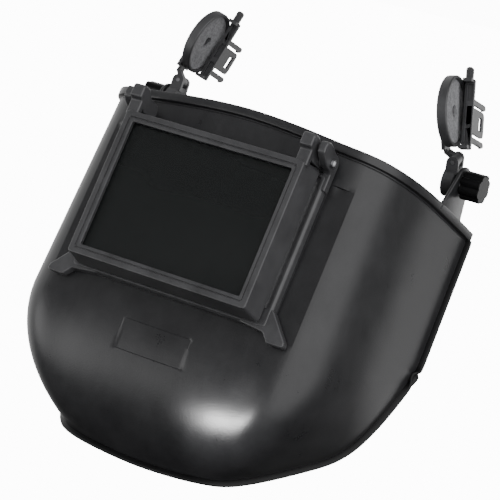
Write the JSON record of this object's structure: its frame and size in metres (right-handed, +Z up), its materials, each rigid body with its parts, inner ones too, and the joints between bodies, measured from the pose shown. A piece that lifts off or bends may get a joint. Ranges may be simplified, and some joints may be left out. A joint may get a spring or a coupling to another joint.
{
  "type": "welding face shield",
  "caption": "Moulded welding face shield with a lift-front window, carried on a hard hat by two pivoting, tilting and turning slot adapters with clamp knobs.",
  "frame": {"origin": "midpoint between the two adapter pivots, in the middle of the hard hat that carries the helmet", "axes": "+Z up, the window faces -Y and leans back 20 degrees, +X is the wearer's left; the adapters pivot about X"},
  "size_m": [0.2938, 0.2401, 0.3276],
  "materials": {
    "shell_plastic": "satin black moulded nylon with a fine mottled grain",
    "frame_plastic": "satin black moulded plastic, slightly finer grained than the shell",
    "knob_plastic": "glossy black moulded plastic",
    "shade_glass": "near-black dark-shade filter glass, smooth",
    "clear_plate": "clear smooth safety plate",
    "gasket_rubber": "matt black rubber",
    "spring_steel": "plain zinc-grey steel",
    "brass": "plain machined brass",
    "insert_fibre": "matt mid-grey friction fibre with a mottled face"
  },
  "bodies": {
    "shell_assembly": {"shell": "shell_plastic", "window_base": "frame_plastic", "inner_clear_plate": "clear_plate", "inner_gasket": "gasket_rubber", "inner_plate_spring": "spring_steel", "inner_retaining_frame": "frame_plastic", "base_screw_1": "spring_steel", "base_screw_2": "spring_steel", "base_screw_3": "spring_steel", "base_screw_4": "spring_steel", "hinge_pin_left": "spring_steel", "hinge_pin_right": "spring_steel", "hinge_washer_left": "spring_steel", "hinge_washer_right": "spring_steel", "pivot_bolt_left": "spring_steel", "pivot_bolt_right": "spring_steel", "friction_washer_left": "insert_fibre", "friction_washer_right": "insert_fibre"},
    "lift_front": {"lift_frame": "frame_plastic", "cover_plate": "clear_plate", "shade_plate": "shade_glass", "lift_gasket": "gasket_rubber", "lift_retainer": "frame_plastic", "lift_retainer_spring": "spring_steel"},
    "arm_base_left": {"lower_arm_left": "frame_plastic", "tilt_pin_left": "spring_steel"},
    "arm_strap_left": {"upper_arm_left": "frame_plastic"},
    "cup_clip_left": {"cup_left": "frame_plastic", "cup_pad_left": "insert_fibre", "cup_rivet_left": "spring_steel", "slot_clip_left": "frame_plastic"},
    "clamp_knob_left": {"knob_left": "knob_plastic", "knob_insert_left": "brass", "spring_washer_left": "spring_steel"},
    "arm_base_right": {"lower_arm_right": "frame_plastic", "tilt_pin_right": "spring_steel"},
    "arm_strap_right": {"upper_arm_right": "frame_plastic"},
    "cup_clip_right": {"cup_right": "frame_plastic", "cup_pad_right": "insert_fibre", "cup_rivet_right": "spring_steel", "slot_clip_right": "frame_plastic"},
    "clamp_knob_right": {"knob_right": "knob_plastic", "knob_insert_right": "brass", "spring_washer_right": "spring_steel"}
  },
  "joints": [
    {"name": "lens_lift", "type": "hinge", "parent": "shell_assembly", "child": "lift_front", "pos_m": [0, -0.12414, 0.00102], "axis": [-1, 0, 0], "range_deg": [0, 85]},
    {"name": "arm_pivot_left", "type": "hinge", "parent": "shell_assembly", "child": "arm_base_left", "pos_m": [0.12145, 0, 0], "axis": [1, 0, 0], "range_deg": [-90, 20]},
    {"name": "strap_tilt_left", "type": "hinge", "parent": "arm_base_left", "child": "arm_strap_left", "pos_m": [0.12145, -0.00427, 0.01594], "axis": [-0.1392, 0.9565, 0.2563], "range_deg": [-12, 15]},
    {"name": "cup_turn_left", "type": "hinge", "parent": "arm_strap_left", "child": "cup_clip_left", "pos_m": [0.11393, -0.01453, 0.05015], "axis": [0.9686, 0.0777, 0.2361], "range_deg": [-20, 70]},
    {"name": "knob_turn_left", "type": "hinge", "parent": "shell_assembly", "child": "clamp_knob_left", "pos_m": [0.1393, 0, 0], "axis": [1, 0, 0], "continuous": true},
    {"name": "arm_pivot_right", "type": "hinge", "parent": "shell_assembly", "child": "arm_base_right", "pos_m": [-0.12145, 0, 0], "axis": [1, 0, 0], "range_deg": [-63, 47]},
    {"name": "strap_tilt_right", "type": "hinge", "parent": "arm_base_right", "child": "arm_strap_right", "pos_m": [-0.12145, 0.00343, 0.01614], "axis": [-0.1045, 0.9728, -0.2068], "range_deg": [-24, 6]},
    {"name": "cup_turn_right", "type": "hinge", "parent": "arm_strap_right", "child": "cup_clip_right", "pos_m": [-0.11267, 0.0117, 0.05059], "axis": [0.965, 0.0489, -0.2577], "range_deg": [-45, 45]},
    {"name": "knob_turn_right", "type": "hinge", "parent": "shell_assembly", "child": "clamp_knob_right", "pos_m": [-0.1393, 0, 0], "axis": [1, 0, 0], "continuous": true}
  ]
}
